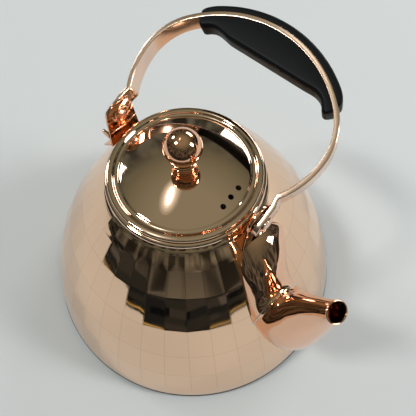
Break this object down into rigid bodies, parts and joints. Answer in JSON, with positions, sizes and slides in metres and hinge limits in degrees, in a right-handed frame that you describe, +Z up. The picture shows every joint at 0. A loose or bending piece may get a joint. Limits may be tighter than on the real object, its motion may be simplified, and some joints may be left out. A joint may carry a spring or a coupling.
{
  "type": "stovetop whistling kettle",
  "caption": "Low domed stovetop kettle in hammered copper-coloured metal with a lift-off lid, ball knob, swan-neck spout and a folding arched handle with a black grip.",
  "frame": {"origin": "centre of the flat base on the surface the kettle stands on", "axes": "+Z up along the axis of the body; +X towards the front ear and, 8 degrees off it, the spout; the handle turns about a line along X"},
  "size_m": [0.1803, 0.176, 0.1482],
  "materials": {
    "hammered_copper": "mirror-bright rose-gold coating over stainless sheet, hammered into flat facets",
    "polished_copper": "mirror-bright rose-gold coating over stainless sheet",
    "bracket_copper": "polished copper-coloured coating",
    "handle_copper": "polished rose-gold coating over flat steel strap",
    "base_steel": "satin stainless",
    "plain_steel": "plain stainless",
    "core_aluminium": "as rolled, sealed inside the base",
    "grip_black": "satin black moulded plastic"
  },
  "bodies": {
    "vessel": {"body_shell": "hammered_copper", "base_pan": "base_steel", "base_cap": "base_steel", "heat_spreader_disc": "core_aluminium", "neck_ring": "polished_copper", "front_ear": "bracket_copper", "rear_ear": "bracket_copper", "front_pivot_rivet": "bracket_copper", "rear_pivot_rivet": "bracket_copper", "front_pivot_washer": "plain_steel", "rear_pivot_washer": "plain_steel", "spout_boot": "polished_copper", "spout_neck": "polished_copper"},
    "handle": {"handle_strap": "handle_copper", "grip_inner": "grip_black", "grip_cover": "grip_black", "grip_screws": "plain_steel"},
    "lid": {"lid_cover": "polished_copper", "lid_skirt": "plain_steel", "whistle_cup": "plain_steel", "whistle_lower_disc": "plain_steel", "whistle_upper_disc": "plain_steel", "knob_stem": "bracket_copper", "knob_ball": "bracket_copper", "knob_washer": "plain_steel", "knob_screw": "plain_steel"}
  },
  "joints": [
    {"name": "handle_swing", "type": "hinge", "parent": "vessel", "child": "handle", "pos_m": [0, 0, 0.1148], "axis": [1, 0, 0], "range_deg": [-37.7, 170.3]},
    {"name": "lid_lift", "type": "slide", "parent": "vessel", "child": "lid", "axis": [0, 0, 1], "range_m": [0, 0.03]}
  ]
}
